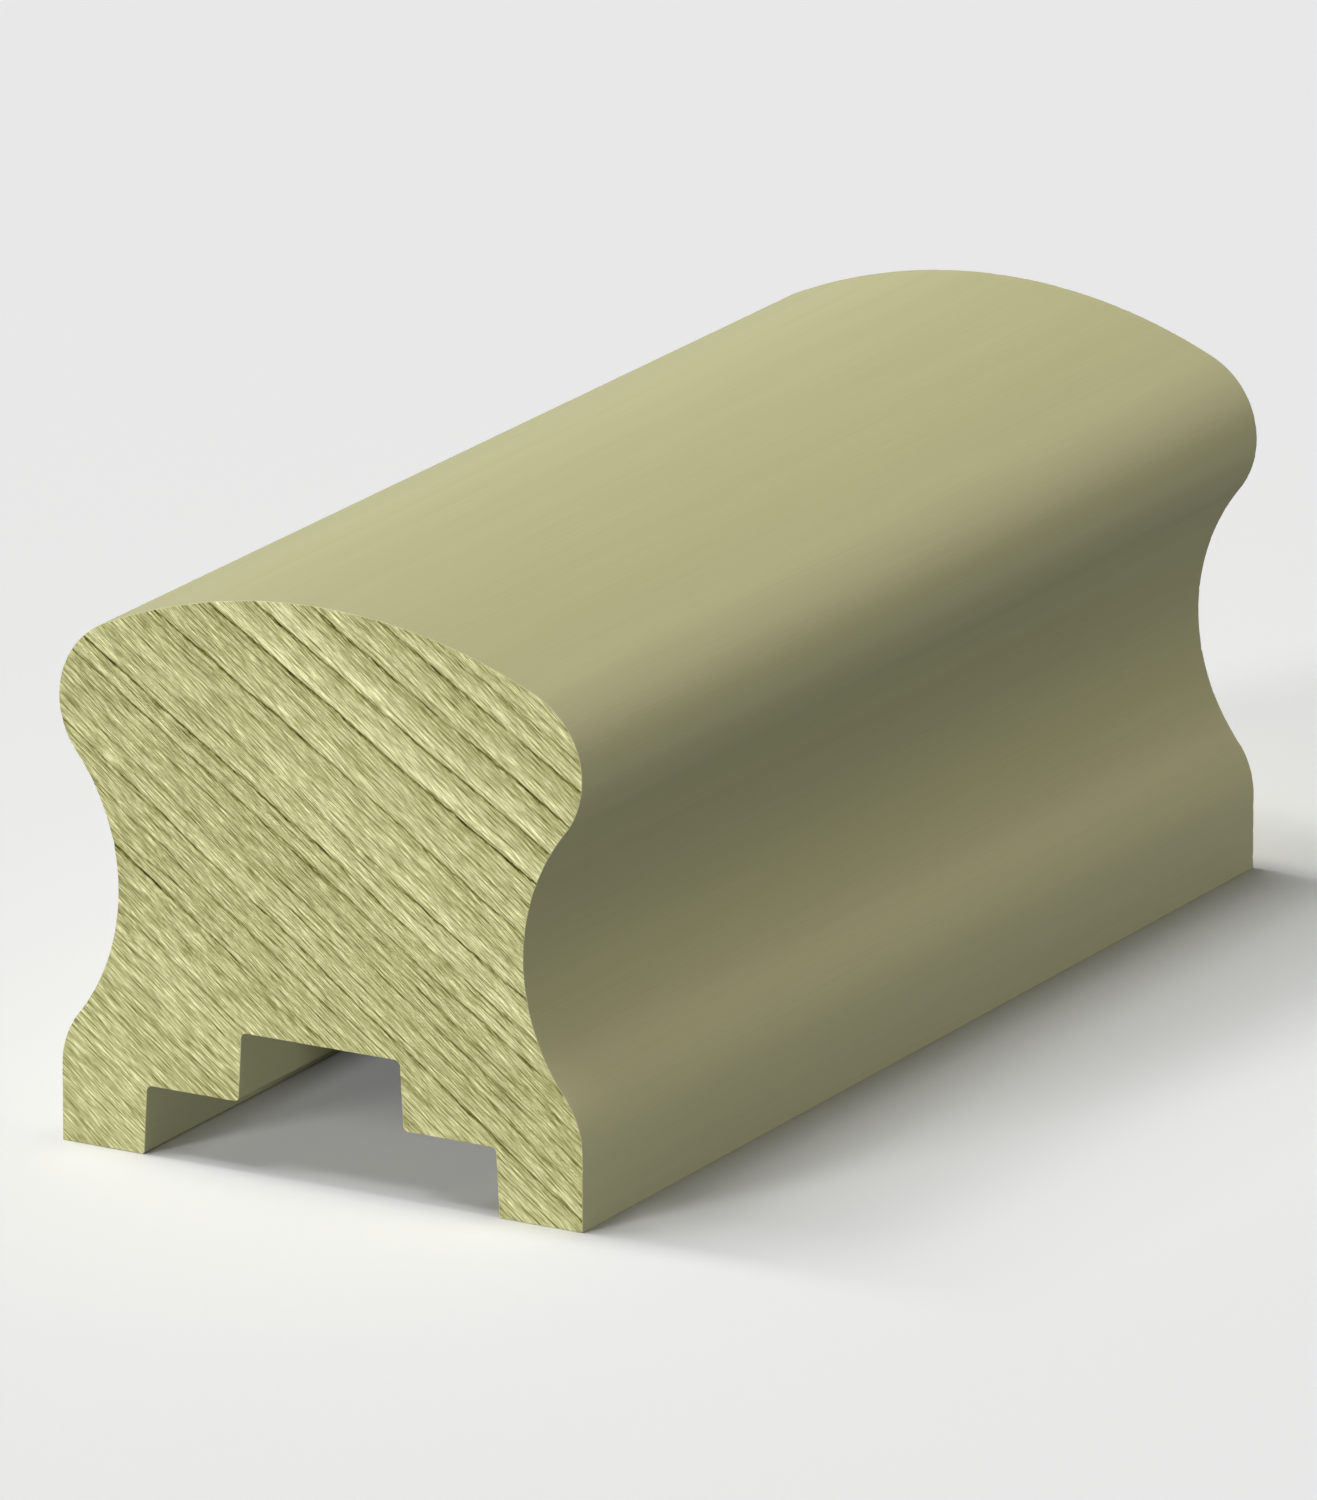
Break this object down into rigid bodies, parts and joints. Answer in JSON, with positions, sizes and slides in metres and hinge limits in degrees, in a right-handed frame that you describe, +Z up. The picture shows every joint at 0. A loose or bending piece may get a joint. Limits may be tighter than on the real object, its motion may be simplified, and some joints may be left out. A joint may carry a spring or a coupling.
{
  "type": "timber handrail",
  "caption": "Short length of moulded timber handrail: domed grip, drawn-in waist, flared base and a stepped groove along the underside.",
  "frame": {"origin": "on the ground that the two feet stand on, at mid length and in the section's plane of symmetry", "axes": "+Y along the rail, away from the end that the picture shows; +Z up through the crown of the grip; +X to the right when the pictured end is faced"},
  "size_m": [0.06, 0.14, 0.06],
  "materials": {
    "timber": "planed softwood with a light olive preservative tint, satin, and a sawn end grain"
  },
  "bodies": {
    "root": {"handrail": "timber"}
  },
  "joints": []
}
